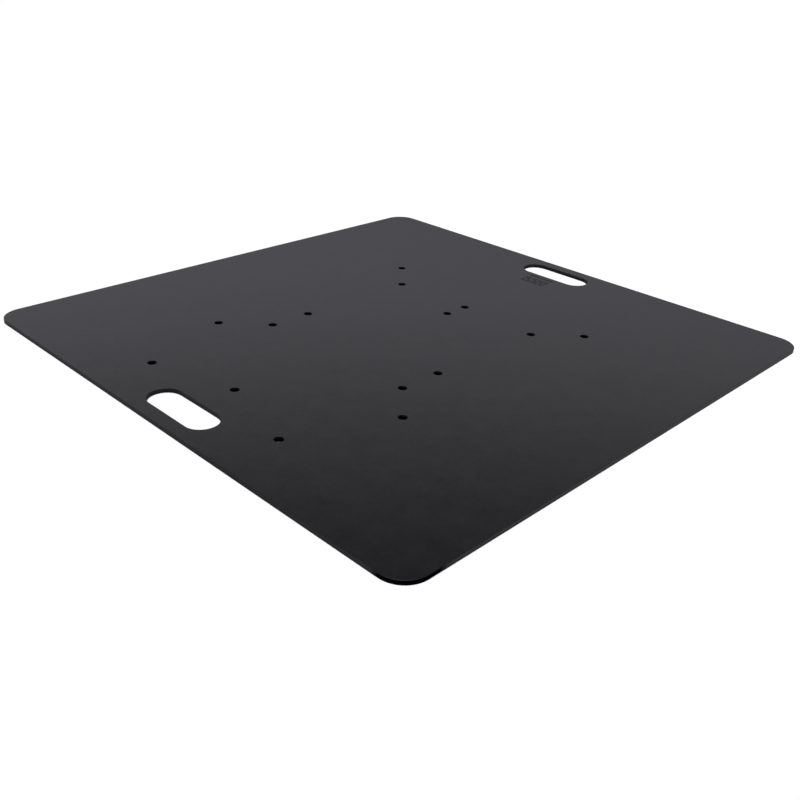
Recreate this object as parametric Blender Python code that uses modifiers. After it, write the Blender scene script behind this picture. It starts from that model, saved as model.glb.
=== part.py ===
"""Ground base plate for aluminium stage truss, cut from one square sheet of steel.

Metres, +Z up. The origin is the middle of the underside, which lies on the floor. The two hand
slots are near the -Y and +Y edges, with their long sides along X. Every truss pattern is
symmetric about the plane X = 0, and the off-centre pattern is shifted towards -Y.
"""

import math

import bmesh
import bpy

# Plate
PLATE_SIDE = 0.750
PLATE_THICKNESS = 0.005
CORNER_RADIUS = 0.030
EDGE_RADIUS = 0.0005

# Hand slots, with fully round ends
SLOT_LENGTH = 0.111
SLOT_WIDTH = 0.0405
SLOT_CENTRE = 0.336

# Clearance holes for M10 countersunk screws, which go in from below
HOLE_DIAMETER = 0.011
COUNTERSINK_DIAMETER = 0.020
COUNTERSINK_ANGLE = math.radians(90)

# Truss patterns: the spacing between the centres of neighbouring chord tubes
SMALL_TRUSS = 0.240
LARGE_TRUSS = 0.340
OFF_CENTRE_SHIFT = -0.180

# Facets
CORNER_STEPS = 12
SLOT_END_STEPS = 28
HOLE_STEPS = 32

CUTTER_OVERLAP = 0.001
MERGE_DISTANCE = 0.00001
SHARP_ANGLE = math.radians(30)

COAT_COLOUR = (0.0062, 0.0062, 0.0068, 1.0)
COAT_ROUGHNESS = 0.3


def clear_scene():
    for old in list(bpy.data.objects):
        bpy.data.objects.remove(old, do_unlink=True)


def new_collection(name):
    collection = bpy.data.collections.new(name)
    bpy.context.scene.collection.children.link(collection)
    return collection


def powder_coat():
    """Satin black polyester powder coat over steel."""
    material = bpy.data.materials.new("black_powder_coat")
    material.use_nodes = True
    shader = material.node_tree.nodes["Principled BSDF"]
    shader.inputs["Base Color"].default_value = COAT_COLOUR
    shader.inputs["Roughness"].default_value = COAT_ROUGHNESS
    shader.inputs["Metallic"].default_value = 0.0
    return material


def arc(centre, radius, start, end, steps):
    """Points along an arc, both ends included."""
    points = []
    for step in range(steps + 1):
        angle = start + (end - start) * step / steps
        points.append((centre[0] + radius * math.cos(angle), centre[1] + radius * math.sin(angle)))
    return points


def rounded_rectangle(length, width, radius, steps, centre_y=0.0):
    """A closed outline, counter-clockwise, with its long side along X."""
    points = []
    quarter = math.pi / 2
    for turn, (side_x, side_y) in enumerate(((1, 1), (-1, 1), (-1, -1), (1, -1))):
        centre = (side_x * (length / 2 - radius), centre_y + side_y * (width / 2 - radius))
        points += arc(centre, radius, turn * quarter, (turn + 1) * quarter, steps)
    return points


def slot_outline(length, width, steps, centre_y):
    """A closed outline with a half circle at each end."""
    radius = width / 2
    reach = length / 2 - radius
    quarter = math.pi / 2
    right_end = arc((reach, centre_y), radius, -quarter, quarter, steps)
    left_end = arc((-reach, centre_y), radius, quarter, 3 * quarter, steps)
    return right_end + left_end


def add_outline(curve, points):
    spline = curve.splines.new("POLY")
    spline.points.add(len(points) - 1)
    for point, (x, y) in zip(spline.points, points):
        point.co = (x, y, 0.0, 1.0)
    spline.use_cyclic_u = True


def plate_blank(collection):
    """The sheet with its hand slots and its broken edges, before the screw holes.

    The curve's bevel grows the sheet by EDGE_RADIUS, so its outlines are drawn that much inside
    the steel.
    """
    curve = bpy.data.curves.new("plate_outline", "CURVE")
    curve.dimensions = "2D"
    curve.fill_mode = "BOTH"
    curve.extrude = PLATE_THICKNESS / 2 - EDGE_RADIUS
    curve.bevel_depth = EDGE_RADIUS
    curve.bevel_resolution = 1
    flat_side = PLATE_SIDE - 2 * EDGE_RADIUS
    add_outline(curve, rounded_rectangle(flat_side, flat_side, CORNER_RADIUS - EDGE_RADIUS, CORNER_STEPS))
    for side in (-1, 1):
        add_outline(curve, slot_outline(SLOT_LENGTH + 2 * EDGE_RADIUS, SLOT_WIDTH + 2 * EDGE_RADIUS,
                                        SLOT_END_STEPS, side * SLOT_CENTRE))
    outline = bpy.data.objects.new("plate_outline", curve)
    outline.location.z = PLATE_THICKNESS / 2
    collection.objects.link(outline)
    return weld_to_mesh(outline, "base_plate", collection)


def weld_to_mesh(outline, name, collection):
    """Turn a curve object into a welded mesh object in the same place."""
    bpy.context.view_layer.update()
    depsgraph = bpy.context.evaluated_depsgraph_get()
    mesh = bpy.data.meshes.new_from_object(outline.evaluated_get(depsgraph))
    mesh.name = name
    welded = bmesh.new()
    welded.from_mesh(mesh)
    bmesh.ops.remove_doubles(welded, verts=welded.verts, dist=MERGE_DISTANCE)
    bmesh.ops.recalc_face_normals(welded, faces=welded.faces)
    welded.to_mesh(mesh)
    welded.free()
    solid = bpy.data.objects.new(name, mesh)
    solid.matrix_world = outline.matrix_world
    collection.objects.link(solid)
    bpy.data.objects.remove(outline, do_unlink=True)
    return solid


def hole_profile():
    """Half section of a countersunk hole, from the top of the axis round to the bottom of it."""
    radius = HOLE_DIAMETER / 2
    slope = math.tan(COUNTERSINK_ANGLE / 2)
    sink_depth = (COUNTERSINK_DIAMETER / 2 - radius) / slope
    low_radius = COUNTERSINK_DIAMETER / 2 + CUTTER_OVERLAP * slope
    top = PLATE_THICKNESS + CUTTER_OVERLAP
    bottom = -CUTTER_OVERLAP
    return [(0.0, top), (radius, top), (radius, sink_depth), (low_radius, bottom), (0.0, bottom)]


def hole_cutter_mesh():
    profile = hole_profile()
    section = bmesh.new()
    corners = [section.verts.new((radius, 0.0, height)) for radius, height in profile]
    for upper, lower in zip(corners, corners[1:]):
        section.edges.new((upper, lower))
    mesh = bpy.data.meshes.new("screw_hole_section")
    section.to_mesh(mesh)
    section.free()
    return mesh


def add_hole_cutter(mesh, collection, number, x, y):
    cutter = bpy.data.objects.new("screw_hole_%02d" % number, mesh)
    cutter.location = (x, y, 0.0)
    cutter.display_type = "WIRE"
    cutter.hide_render = True
    turn = cutter.modifiers.new("turn", "SCREW")
    turn.steps = HOLE_STEPS
    turn.render_steps = HOLE_STEPS
    turn.use_merge_vertices = True
    turn.merge_threshold = MERGE_DISTANCE
    collection.objects.link(cutter)


def square_pattern(spacing, centre_y):
    half = spacing / 2
    return [(side_x * half, centre_y + side_y * half) for side_x in (-1, 1) for side_y in (-1, 1)]


def triangle_apex(spacing, centre_y, direction):
    """The third hole of an equilateral triangle that shares two holes of the square pattern.

    The shared row is behind the pattern's centre, and the apex is ahead of it in direction.
    """
    shared_row = centre_y - direction * spacing / 2
    return (0.0, shared_row + direction * spacing * math.sqrt(3) / 2)


def screw_holes():
    holes = square_pattern(SMALL_TRUSS, 0.0)
    holes += square_pattern(LARGE_TRUSS, 0.0)
    holes += square_pattern(SMALL_TRUSS, OFF_CENTRE_SHIFT)
    holes.append(triangle_apex(SMALL_TRUSS, 0.0, 1))
    holes.append(triangle_apex(LARGE_TRUSS, 0.0, 1))
    holes.append(triangle_apex(SMALL_TRUSS, OFF_CENTRE_SHIFT, -1))
    return holes


def drill(plate, cutters):
    mesh = hole_cutter_mesh()
    for number, (x, y) in enumerate(screw_holes(), start=1):
        add_hole_cutter(mesh, cutters, number, x, y)
    drilling = plate.modifiers.new("screw_holes", "BOOLEAN")
    drilling.operation = "DIFFERENCE"
    drilling.solver = "EXACT"
    drilling.operand_type = "COLLECTION"
    drilling.collection = cutters


def main():
    clear_scene()
    parts = new_collection("truss_base_plate")
    cutters = new_collection("cutters")
    plate = plate_blank(parts)
    plate.data.shade_smooth()
    plate.data.set_sharp_from_angle(angle=SHARP_ANGLE)
    plate.data.materials.clear()
    plate.data.materials.append(powder_coat())
    drill(plate, cutters)


main()
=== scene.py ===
"""Looks for the truss base plate: a steel sheet with a satin black powder coat.

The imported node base_plate gives the outline, the thickness and the frame. The plate is built again
here with round arrises, fine arcs, rounded hole rims, countersinks and a shallow etched pictogram.
"""

import math

import bmesh
import bpy
from mathutils import Matrix, Vector
from mathutils.geometry import tessellate_polygon


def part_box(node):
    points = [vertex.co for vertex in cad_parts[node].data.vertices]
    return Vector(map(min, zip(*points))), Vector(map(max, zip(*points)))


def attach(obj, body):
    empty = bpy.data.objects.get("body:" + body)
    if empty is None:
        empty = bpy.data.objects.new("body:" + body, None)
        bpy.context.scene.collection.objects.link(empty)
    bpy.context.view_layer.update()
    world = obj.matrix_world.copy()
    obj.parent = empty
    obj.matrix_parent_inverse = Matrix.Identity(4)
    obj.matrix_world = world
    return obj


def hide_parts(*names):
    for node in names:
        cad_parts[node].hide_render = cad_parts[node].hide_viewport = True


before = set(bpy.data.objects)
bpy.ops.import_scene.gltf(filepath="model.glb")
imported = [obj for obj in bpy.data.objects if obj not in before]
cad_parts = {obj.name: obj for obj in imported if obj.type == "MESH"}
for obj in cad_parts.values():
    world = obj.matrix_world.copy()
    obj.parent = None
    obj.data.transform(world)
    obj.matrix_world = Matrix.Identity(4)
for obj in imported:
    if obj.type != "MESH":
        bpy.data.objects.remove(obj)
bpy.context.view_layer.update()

NODE = "base_plate"
BODY = "root"

# The plate, in metres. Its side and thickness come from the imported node.
PLATE_LOW, PLATE_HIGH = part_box(NODE)
PLATE_SIDE = PLATE_HIGH.x - PLATE_LOW.x
TOP = PLATE_HIGH.z
BOTTOM = PLATE_LOW.z
CORNER_RADIUS = 0.030
EDGE_RADIUS = 0.0005
HAND_SLOT_LENGTH = 0.111
HAND_SLOT_WIDTH = 0.0405
HAND_SLOT_CENTRE = 0.336
HOLE_RADIUS = 0.0055
HOLE_RIM_RADIUS = 0.0004
COUNTERSINK_RADIUS = 0.010

# Truss patterns: spacing between chord centres, and the off-centre pattern's shift
SMALL_TRUSS = 0.240
LARGE_TRUSS = 0.340
OFF_CENTRE_SHIFT = -0.180

# The etched pictogram: a length of truss seen from the side, and a plain bar
ETCH_DEPTH = 0.00015
ETCH_LIP = 0.00005
ETCH_CENTRE_X = -0.0025
ETCH_LENGTH = 0.042
ETCH_STROKE = 0.0020
ETCH_GAP = 0.0008
ETCHED_TRUSS_BAYS = 7
ETCHED_TRUSS_HEIGHT = 0.018
ETCHED_TRUSS_CENTRE = 0.2870
ETCHED_BAR_WIDTH = 0.0038
ETCHED_BAR_CENTRE = 0.3050

# Facets
CORNER_STEPS = 40
SLOT_END_STEPS = 48
HOLE_STEPS = 64
ETCH_STEPS = 12
ARRIS_STEPS = 6
SHARP_ANGLE = math.radians(31)
LARGE_FACE_WEIGHT = 100

# The plate's material slots
COAT = 0
ETCHED = 1

# Noise textures, with scales in cycles per metre
CLOUDS = {"Scale": 40.0, "Detail": 5.0, "Roughness": 0.65}
MOTTLE = {"Scale": 260.0, "Detail": 2.0}
THIN_PATCHES = {"Scale": 140.0, "Detail": 3.0}
PEEL = {"Scale": 520.0, "Detail": 1.5}
GRIT = {"Scale": 1800.0, "Detail": 1.0}
ETCH_GRAIN = {"Scale": 2500.0, "Detail": 2.0}

# The powder coat. FILM_RANGE is the stretch of the film noise that colour, roughness and specular
# level are spread over.
FILM_RANGE = (0.3, 0.7)
COAT_COLOURS = ((0.0048, 0.0048, 0.0053, 1.0), (0.0075, 0.0075, 0.0083, 1.0))
COAT_ROUGHNESS = (0.285, 0.315)
COAT_SPECULAR = (0.41, 0.59)
THIN_COAT_COLOUR = (0.030, 0.030, 0.032, 1.0)
MOTTLE_SHARE = 0.35
GRIT_SHARE = 0.2
PEEL_DEPTH = 0.000008

# The floor of an etched stroke
ETCH_COLOURS = ((0.008, 0.008, 0.009, 1.0), (0.022, 0.022, 0.024, 1.0))
ETCH_ROUGHNESS = 0.75
ETCH_GRAIN_DEPTH = 0.00005

# The studio: how bright the surroundings are at each height above the horizon, in degrees
STUDIO_GLOW = ((16.5, 0.10), (20.0, 1.14), (25.5, 0.52), (39.0, 0.06), (56.0, 0.04), (70.0, 0.6),
               (82.0, 3.4))
STUDIO_TINT = (0.99, 0.975, 1.06)
BRIGHTER_SIDE = (-0.707, -0.707, 0.0)
SIDE_CONTRAST = 0.22
WHITE = 1.05

# The paper that the plate lies on glows. In reflections it carries painted light, brighter towards the
# plate's right edge and past it, and painted shade, dark past a line under the plate's near corner, where
# the camera still sees white. Its glow also carries painted shade from the ambient occlusion node: where
# that gives less than the first value of PAPER_OPENNESS the paper is black, and above the second it is
# fully lit.
PAPER_HEIGHT = -0.0002
PAPER_REACH = 40.0
PAPER_GLOW = 0.31
# Painted light: the paper's glow in reflections rises from PAPER_GLOW to this over the last stretch up to
# the plate's right edge, and holds past it.
PAINTED_GLOW_RIGHT = 0.47
PAPER_RIGHT_BLUR = 0.2
# Painted shade: in reflections the paper's glow fades to black past the line at this distance along this
# direction, under the plate's near corner; the camera still sees white there.
PAINTED_SHADE_DIRECTION = (0.808, -0.589, 0.0)
PAINTED_SHADE_LINE = 0.4956
PAINTED_SHADE_BLUR = 0.003
PAPER_TINT = (1.0, 0.965, 1.03, 1.0)
# Painted shade: the occlusion that blackens the paper's glow in screw holes and along the plate's walls.
PAPER_OPENNESS = (0.46, 0.56)
OCCLUSION_DISTANCE = 0.1
OCCLUSION_SAMPLES = 16

# The camera, in metres, degrees and millimetres of film
CAMERA_PLACE = (0.77235, -0.80426, 0.48232)
CAMERA_AIM = (0.1329, -0.13664, 0.0)
CAMERA_ROLL = 2.65
CAMERA_LENS = 41.419
CAMERA_SENSOR = 36.0


def link(obj):
    bpy.context.scene.collection.objects.link(obj)
    return obj


def add_node(tree, kind, inputs, **attributes):
    """A shader node. An input that is another node's output is linked, and any other is set."""
    node = tree.nodes.new("ShaderNode" + kind)
    for name, value in attributes.items():
        setattr(node, name, value)
    for name, value in inputs.items():
        if isinstance(value, bpy.types.NodeSocket):
            tree.links.new(value, node.inputs[name])
        else:
            node.inputs[name].default_value = value
    return node


def empty_tree(owner):
    owner.use_nodes = True
    owner.node_tree.nodes.clear()
    return owner.node_tree


def arc(centre, radius, start, end, steps):
    points = []
    for step in range(steps + 1):
        angle = start + (end - start) * step / steps
        points.append((centre[0] + radius * math.cos(angle), centre[1] + radius * math.sin(angle)))
    return points


def rounded_square(side, radius, steps):
    points = []
    quarter = math.pi / 2
    for turn, (side_x, side_y) in enumerate(((1, 1), (-1, 1), (-1, -1), (1, -1))):
        middle = (side_x * (side / 2 - radius), side_y * (side / 2 - radius))
        points += arc(middle, radius, turn * quarter, (turn + 1) * quarter, steps)
    return points


def stadium(start, end, radius, steps):
    """A slot's outline, with its round ends centred on start and end."""
    heading = math.atan2(end[1] - start[1], end[0] - start[0])
    quarter = math.pi / 2
    far_end = arc(end, radius, heading - quarter, heading + quarter, steps)
    near_end = arc(start, radius, heading + quarter, heading + 3 * quarter, steps)
    return far_end + near_end


def circle(centre, radius, steps):
    return arc(centre, radius, 0.0, 2 * math.pi, steps)[:-1]


# Each of these gives an outline as a function of inset, the distance from the wall into the metal.

def outer_edge():
    return lambda inset: rounded_square(PLATE_SIDE - 2 * inset, CORNER_RADIUS - inset, CORNER_STEPS)


def hand_slot(centre_y):
    reach = (HAND_SLOT_LENGTH - HAND_SLOT_WIDTH) / 2
    start, end = (-reach, centre_y), (reach, centre_y)
    return lambda inset: stadium(start, end, HAND_SLOT_WIDTH / 2 + inset, SLOT_END_STEPS)


def screw_hole(centre):
    return lambda inset: circle(centre, HOLE_RADIUS + inset, HOLE_STEPS)


def stroke(start, end, width):
    """A straight etched stroke. The x of start and end is from the pictogram's centre line."""
    start, end = [(ETCH_CENTRE_X + x, y) for x, y in (start, end)]
    return lambda inset: stadium(start, end, width / 2 + inset, ETCH_STEPS)


def square_pattern(spacing, centre_y):
    half = spacing / 2
    return [(side_x * half, centre_y + side_y * half) for side_x in (-1, 1) for side_y in (-1, 1)]


def triangle_apex(spacing, centre_y, direction):
    shared_row = centre_y - direction * spacing / 2
    return (0.0, shared_row + direction * spacing * math.sqrt(3) / 2)


def screw_holes():
    centres = square_pattern(SMALL_TRUSS, 0.0)
    centres += square_pattern(LARGE_TRUSS, 0.0)
    centres += square_pattern(SMALL_TRUSS, OFF_CENTRE_SHIFT)
    centres.append(triangle_apex(SMALL_TRUSS, 0.0, 1))
    centres.append(triangle_apex(LARGE_TRUSS, 0.0, 1))
    centres.append(triangle_apex(SMALL_TRUSS, OFF_CENTRE_SHIFT, -1))
    return [screw_hole(centre) for centre in centres]


def etched_truss():
    """Two chords, and a zigzag of braces that stop short of the chords and of one another."""
    low = ETCHED_TRUSS_CENTRE - (ETCHED_TRUSS_HEIGHT - ETCH_STROKE) / 2
    high = ETCHED_TRUSS_CENTRE + (ETCHED_TRUSS_HEIGHT - ETCH_STROKE) / 2
    reach = (ETCH_LENGTH - ETCH_STROKE) / 2
    strokes = [stroke((-reach, height), (reach, height), ETCH_STROKE) for height in (low, high)]
    clearance = ETCH_STROKE + ETCH_GAP
    bay = 2 * reach / ETCHED_TRUSS_BAYS
    for number in range(ETCHED_TRUSS_BAYS):
        left = -reach + number * bay + clearance / 2
        right = left + bay - clearance
        foot, head = (left, right) if number % 2 == 0 else (right, left)
        strokes.append(stroke((foot, low + clearance), (head, high - clearance), ETCH_STROKE))
    return strokes


def pictogram():
    reach = (ETCH_LENGTH - ETCHED_BAR_WIDTH) / 2
    bar = stroke((-reach, ETCHED_BAR_CENTRE), (reach, ETCHED_BAR_CENTRE), ETCHED_BAR_WIDTH)
    return etched_truss() + [bar]


# A profile runs down a wall as (inset, height, edge) triples. edge is 0 on flat metal and 1 on the
# middle of an arris, where the coat is thinnest. The countersinks' coat is halfway between.

def round_arris(radius, face, down):
    """From the flat face at height face to the wall. down is 1 under a top face, -1 over a bottom."""
    profile = []
    for step in range(ARRIS_STEPS + 1):
        angle = math.pi / 2 * step / ARRIS_STEPS
        profile.append((radius * (1 - math.sin(angle)), face - down * radius * (1 - math.cos(angle)),
                        math.sin(2 * angle)))
    return profile


def plain_wall():
    lower_arris = round_arris(EDGE_RADIUS, BOTTOM, -1)
    return round_arris(EDGE_RADIUS, TOP, 1) + lower_arris[::-1]


def countersunk_wall():
    """A rounded rim, a short bore and a 90 degree countersink that opens underneath."""
    flare = COUNTERSINK_RADIUS - HOLE_RADIUS
    countersink = [(0.0, BOTTOM + flare, 0.5), (flare, BOTTOM, 0.5)]
    return round_arris(HOLE_RIM_RADIUS, TOP, 1) + countersink


def etched_wall():
    return [(ETCH_LIP, TOP, 0.0), (0.0, TOP - ETCH_LIP, 0.0), (0.0, TOP - ETCH_DEPTH, 0.0)]


def add_wall(mesh, outline, profile, material):
    """Lofts a wall along outline and down profile. Returns its first and last rings."""
    edge_layer = mesh.verts.layers.float["edge"]
    rings = []
    for inset, height, edge in profile:
        ring = [mesh.verts.new((x, y, height)) for x, y in outline(inset)]
        for vertex in ring:
            vertex[edge_layer] = edge
        rings.append(ring)
    for upper, lower in zip(rings, rings[1:]):
        for corners in zip(upper, upper[1:] + upper[:1], lower[1:] + lower[:1], lower):
            mesh.faces.new(corners).material_index = material
    return rings[0], rings[-1]


def fill(mesh, rings, material):
    """A flat face inside the first ring, with the other rings as holes in it."""
    corners = [vertex for ring in rings for vertex in ring]
    for triangle in tessellate_polygon([[vertex.co for vertex in ring] for ring in rings]):
        mesh.faces.new([corners[index] for index in triangle]).material_index = material


def plate_mesh():
    solid = bmesh.new()
    solid.verts.layers.float.new("edge")
    walls = [(outer_edge(), plain_wall())]
    walls += [(hand_slot(side * HAND_SLOT_CENTRE), plain_wall()) for side in (-1, 1)]
    walls += [(hole, countersunk_wall()) for hole in screw_holes()]
    top_rings = []
    bottom_rings = []
    for outline, profile in walls:
        first, last = add_wall(solid, outline, profile, COAT)
        top_rings.append(first)
        bottom_rings.append(last)
    for shape in pictogram():
        first, last = add_wall(solid, shape, etched_wall(), ETCHED)
        top_rings.append(first)
        fill(solid, [last], ETCHED)
    fill(solid, top_rings, COAT)
    fill(solid, bottom_rings, COAT)
    bmesh.ops.recalc_face_normals(solid, faces=solid.faces)
    mesh = bpy.data.meshes.new("plate")
    solid.to_mesh(mesh)
    solid.free()
    return mesh


def smooth_rounds(obj):
    """Round faces are shaded round and flat faces flat."""
    obj.data.shade_smooth()
    obj.data.set_sharp_from_angle(angle=SHARP_ANGLE)
    weighted = obj.modifiers.new("weighted_normals", "WEIGHTED_NORMAL")
    weighted.keep_sharp = True
    weighted.weight = LARGE_FACE_WEIGHT


def noise(tree, place, settings):
    return add_node(tree, "TexNoise", {"Vector": place, **settings}).outputs["Fac"]


def blend(tree, share, first, second):
    """first, with a share of second mixed in."""
    mix = add_node(tree, "Mix", {"Factor": share, "A": first, "B": second}, data_type="FLOAT")
    return mix.outputs["Result"]


def ramp_between(tree, value, source, target):
    """value mapped from the source range onto the target range, and held there past its ends."""
    mapping = add_node(tree, "MapRange", {"Value": value, "From Min": source[0], "From Max": source[1],
                                          "To Min": target[0], "To Max": target[1]})
    return mapping.outputs["Result"]


def powder_coat():
    """Satin black powder: a fine orange peel, faint clouds where the film is thicker, and arrises
    where it has pulled thin."""
    material = bpy.data.materials.new("black_powder_coat")
    tree = empty_tree(material)
    place = add_node(tree, "TexCoord", {}).outputs["Object"]

    film = blend(tree, MOTTLE_SHARE, noise(tree, place, CLOUDS), noise(tree, place, MOTTLE))
    colour = add_node(tree, "ValToRGB", {"Fac": film})
    for stop, position, tone in zip(colour.color_ramp.elements, FILM_RANGE, COAT_COLOURS):
        stop.position = position
        stop.color = tone

    edge = add_node(tree, "Attribute", {}, attribute_name="edge").outputs["Fac"]
    patches = noise(tree, place, THIN_PATCHES)
    thin = add_node(tree, "Math", {0: edge, 1: patches}, operation="MULTIPLY").outputs["Value"]
    worn = add_node(tree, "Mix", {"Factor": thin, "A": colour.outputs["Color"], "B": THIN_COAT_COLOUR},
                    data_type="RGBA")

    relief = blend(tree, GRIT_SHARE, noise(tree, place, PEEL), noise(tree, place, GRIT))
    bump = add_node(tree, "Bump", {"Height": relief, "Strength": 1.0, "Distance": PEEL_DEPTH})

    surface = {
        "Base Color": worn.outputs["Result"],
        "Roughness": ramp_between(tree, film, FILM_RANGE, COAT_ROUGHNESS),
        "Specular IOR Level": ramp_between(tree, film, FILM_RANGE, COAT_SPECULAR),
        "Normal": bump.outputs["Normal"],
    }
    shader = add_node(tree, "BsdfPrincipled", surface)
    add_node(tree, "OutputMaterial", {"Surface": shader.outputs["BSDF"]})
    return material


def etched_coat():
    """The floor of an etched stroke: dull and rough."""
    material = bpy.data.materials.new("etched_powder_coat")
    tree = empty_tree(material)
    place = add_node(tree, "TexCoord", {}).outputs["Object"]
    grain = noise(tree, place, ETCH_GRAIN)
    colour = add_node(tree, "ValToRGB", {"Fac": grain})
    for stop, tone in zip(colour.color_ramp.elements, ETCH_COLOURS):
        stop.color = tone
    bump = add_node(tree, "Bump", {"Height": grain, "Strength": 1.0, "Distance": ETCH_GRAIN_DEPTH})
    surface = {"Base Color": colour.outputs["Color"], "Roughness": ETCH_ROUGHNESS,
               "Normal": bump.outputs["Normal"]}
    shader = add_node(tree, "BsdfPrincipled", surface)
    add_node(tree, "OutputMaterial", {"Surface": shader.outputs["BSDF"]})
    return material


def build_plate():
    plate = link(bpy.data.objects.new("plate", plate_mesh()))
    plate.data.materials.append(powder_coat())
    plate.data.materials.append(etched_coat())
    smooth_rounds(plate)
    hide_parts(NODE)
    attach(plate, BODY)


def paper_white():
    """White paper that glows. The camera sees it burnt out, apart from painted shade in the depth of a
    screw hole. The plate reflects it as pale grey, faintly purple, with painted shade in its holes, along
    the plate's walls and past a line under the near corner, and painted light towards the right edge."""
    material = bpy.data.materials.new("paper_white")
    tree = empty_tree(material)
    # Painted shade: the ambient occlusion node darkens the paper's glow in the depth of a screw hole and
    # close along the plate's walls.
    occlusion = add_node(tree, "AmbientOcclusion", {"Distance": OCCLUSION_DISTANCE},
                         samples=OCCLUSION_SAMPLES)
    openness = occlusion.outputs["AO"]
    lit = ramp_between(tree, openness, PAPER_OPENNESS, (0.0, 1.0))
    seen = add_node(tree, "Math", {0: lit, 1: WHITE}, operation="MULTIPLY").outputs["Value"]

    place = add_node(tree, "NewGeometry", {}).outputs["Position"]
    across = add_node(tree, "SeparateXYZ", {"Vector": place}).outputs["X"]
    # Painted light: in reflections the paper glows brighter towards the plate's right edge and past it.
    right_edge = (PLATE_HIGH.x - PAPER_RIGHT_BLUR, PLATE_HIGH.x)
    paper = ramp_between(tree, across, right_edge, (PAPER_GLOW, PAINTED_GLOW_RIGHT))
    # Painted shade: in reflections the paper goes dark past a line under the plate's near corner.
    outwards = add_node(tree, "VectorMath", {0: place, 1: PAINTED_SHADE_DIRECTION},
                        operation="DOT_PRODUCT").outputs["Value"]
    painted_shade_band = (PAINTED_SHADE_LINE - PAINTED_SHADE_BLUR, PAINTED_SHADE_LINE + PAINTED_SHADE_BLUR)
    outside_painted_shade = ramp_between(tree, outwards, painted_shade_band, (1.0, 0.0))
    # What the plate reflects: the glow with raw occlusion as painted shade, times the painted shade and
    # painted light below and above.
    reflected = openness
    for factor in (lit, paper, outside_painted_shade):
        reflected = add_node(tree, "Math", {0: reflected, 1: factor}, operation="MULTIPLY").outputs["Value"]

    camera_ray = add_node(tree, "LightPath", {}).outputs["Is Camera Ray"]
    strength = blend(tree, camera_ray, reflected, seen)
    glow = add_node(tree, "Emission", {"Color": PAPER_TINT, "Strength": strength})
    add_node(tree, "OutputMaterial", {"Surface": glow.outputs["Emission"]})
    return material


def build_paper():
    grid = bmesh.new()
    bmesh.ops.create_grid(grid, x_segments=1, y_segments=1, size=PAPER_REACH)
    mesh = bpy.data.meshes.new("paper")
    grid.to_mesh(mesh)
    grid.free()
    paper = link(bpy.data.objects.new("paper", mesh))
    paper.location.z = PAPER_HEIGHT
    paper.data.materials.append(paper_white())


def build_world():
    """A soft band of light all round the room, and a soft light overhead. The camera sees the same
    white as the paper."""
    world = bpy.data.worlds.new("studio")
    tree = empty_tree(world)
    direction = add_node(tree, "TexCoord", {}).outputs["Generated"]
    height = add_node(tree, "SeparateXYZ", {"Vector": direction}).outputs["Z"]
    glow = add_node(tree, "ValToRGB", {"Fac": height})
    ramp = glow.color_ramp
    ramp.interpolation = "EASE"
    while len(ramp.elements) < len(STUDIO_GLOW):
        ramp.elements.new(1.0)
    for stop, (elevation, brightness) in zip(ramp.elements, STUDIO_GLOW):
        stop.position = math.sin(math.radians(elevation))
        stop.color = [brightness * tint for tint in STUDIO_TINT] + [1.0]
    sideways = add_node(tree, "VectorMath", {0: direction, 1: BRIGHTER_SIDE},
                        operation="DOT_PRODUCT").outputs["Value"]
    side = add_node(tree, "Math", {0: sideways, 1: SIDE_CONTRAST, 2: 1.0},
                    operation="MULTIPLY_ADD").outputs["Value"]
    room = add_node(tree, "Background", {"Color": glow.outputs["Color"], "Strength": side})
    backdrop = add_node(tree, "Background", {"Color": (1.0, 1.0, 1.0, 1.0), "Strength": WHITE})
    camera_ray = add_node(tree, "LightPath", {}).outputs["Is Camera Ray"]
    seen = add_node(tree, "MixShader", {0: camera_ray, 1: room.outputs[0], 2: backdrop.outputs[0]})
    add_node(tree, "OutputWorld", {"Surface": seen.outputs["Shader"]})
    bpy.context.scene.world = world


def build_camera():
    """The camera looks at CAMERA_AIM on the floor, and is rolled a little."""
    data = bpy.data.cameras.new("camera")
    data.sensor_width = CAMERA_SENSOR
    data.lens = CAMERA_LENS
    camera = link(bpy.data.objects.new("camera", data))
    place = Vector(CAMERA_PLACE)
    facing = (Vector(CAMERA_AIM) - place).to_track_quat("-Z", "Y").to_matrix().to_4x4()
    roll = Matrix.Rotation(math.radians(CAMERA_ROLL), 4, "Z")
    camera.matrix_world = Matrix.Translation(place) @ facing @ roll
    bpy.context.scene.camera = camera


def build_all():
    build_plate()
    build_paper()
    build_world()
    build_camera()
    bpy.context.scene.view_settings.view_transform = "Standard"


build_all()
